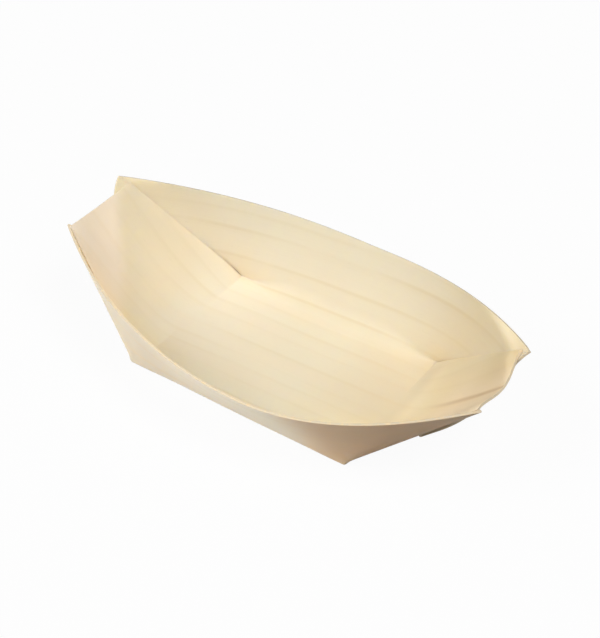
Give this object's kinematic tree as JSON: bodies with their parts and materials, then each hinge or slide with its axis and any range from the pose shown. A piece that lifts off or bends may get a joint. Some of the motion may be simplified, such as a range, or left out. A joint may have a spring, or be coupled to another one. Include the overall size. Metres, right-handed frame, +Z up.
{
  "type": "wooden boat dish",
  "caption": "Boat-shaped disposable serving dish folded from thin wood veneer, with flaring side walls, upswept ends and corner flaps glued behind the end walls.",
  "frame": {"origin": "centre of the flat floor, on the underside that rests on the table", "axes": "+X along the boat's length towards its right end, +Y towards the far side wall, +Z up out of the open top"},
  "size_m": [0.1404, 0.0786, 0.0309],
  "materials": {
    "veneer": "unfinished pale veneer, faint straight grain along the length",
    "glue": "dried translucent glue, slightly glossy"
  },
  "bodies": {
    "root": {"veneer_sheet": "veneer", "right_inner_glue": "glue", "right_outer_glue": "glue", "left_inner_glue": "glue", "left_outer_glue": "glue"}
  },
  "joints": []
}
